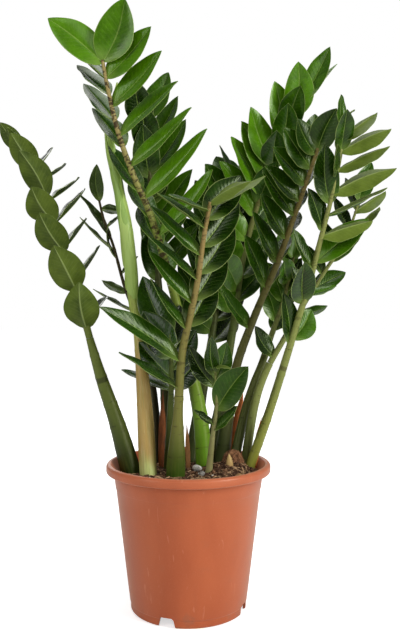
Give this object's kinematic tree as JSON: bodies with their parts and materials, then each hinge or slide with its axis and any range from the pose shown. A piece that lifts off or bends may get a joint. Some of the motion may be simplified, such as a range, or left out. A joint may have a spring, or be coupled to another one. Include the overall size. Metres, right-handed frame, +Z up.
{
  "type": "potted zz plant",
  "caption": "Zamioculcas houseplant: upright fleshy stalks with two ranks of glossy pointed leaflets, one pale new shoot, in a round tapered plastic nursery pot.",
  "frame": {"origin": "on the pot's axis in the plane of its foot", "axes": "+Z up along the pot's axis; -Y is the front, from which the plant is widest; +X is the plant's right"},
  "size_m": [0.4091, 0.2223, 0.6192],
  "materials": {
    "terracotta_plastic": "satin moulded plastic",
    "peat_mix": "rough, crumbly",
    "stem_far_left": "smooth, fleshy",
    "leaf_far_left": "waxy gloss",
    "stem_tall_left": "smooth, fleshy",
    "leaf_tall_left": "waxy gloss",
    "stem_left_back": "smooth, fleshy",
    "leaf_left_back": "waxy gloss",
    "stem_centre_front": "smooth, fleshy",
    "leaf_centre_front": "waxy gloss",
    "stem_dark_right": "smooth, fleshy",
    "leaf_dark_right": "waxy gloss",
    "stem_right": "smooth, fleshy",
    "leaf_right": "waxy gloss",
    "stem_right_back_inner": "smooth, fleshy",
    "leaf_right_back_inner": "waxy gloss",
    "stem_right_back": "smooth, fleshy",
    "leaf_right_back": "waxy gloss",
    "stem_top_right": "smooth, fleshy",
    "leaf_top_right": "waxy gloss",
    "stem_centre_back": "smooth, fleshy",
    "leaf_centre_back": "waxy gloss",
    "stem_thin_left": "smooth, fleshy",
    "leaf_thin_left": "waxy gloss",
    "stem_short_front": "smooth, fleshy",
    "leaf_short_front": "waxy gloss",
    "stem_short_left": "smooth, fleshy",
    "leaf_short_left": "waxy gloss",
    "young_shoot": "smooth, fleshy",
    "bud_scale": "dry, papery",
    "rhizome_skin": "rough, scaly",
    "dry_brown": "dry, papery",
    "dry_tan": "dry, papery",
    "perlite": "chalky",
    "pebble": "matt stone"
  },
  "bodies": {
    "root": {"pot": "terracotta_plastic", "potting_mix": "peat_mix", "stem_far_left": "stem_far_left", "leaves_far_left": "leaf_far_left", "stem_tall_left": "stem_tall_left", "leaves_tall_left": "leaf_tall_left", "stem_left_back": "stem_left_back", "leaves_left_back": "leaf_left_back", "stem_centre_front": "stem_centre_front", "leaves_centre_front": "leaf_centre_front", "stem_dark_right": "stem_dark_right", "leaves_dark_right": "leaf_dark_right", "stem_right": "stem_right", "leaves_right": "leaf_right", "stem_right_back_inner": "stem_right_back_inner", "leaves_right_back_inner": "leaf_right_back_inner", "stem_right_back": "stem_right_back", "leaves_right_back": "leaf_right_back", "stem_top_right": "stem_top_right", "leaves_top_right": "leaf_top_right", "stem_centre_back": "stem_centre_back", "leaves_centre_back": "leaf_centre_back", "stem_thin_left": "stem_thin_left", "leaves_thin_left": "leaf_thin_left", "stem_short_front": "stem_short_front", "leaves_short_front": "leaf_short_front", "stem_short_left": "stem_short_left", "leaves_short_left": "leaf_short_left", "new_shoot": "young_shoot", "pale_bud": "bud_scale", "rhizome_crown": "rhizome_skin", "papery_scale_tall": "dry_brown", "papery_scale_left": "dry_brown", "papery_scale_right": "dry_brown", "papery_scale_small": "dry_tan", "bark_chip_left": "dry_brown", "bark_chip_front": "dry_brown", "bark_chip_right": "dry_tan", "perlite_lump": "perlite", "grey_pebble": "pebble"}
  },
  "joints": []
}
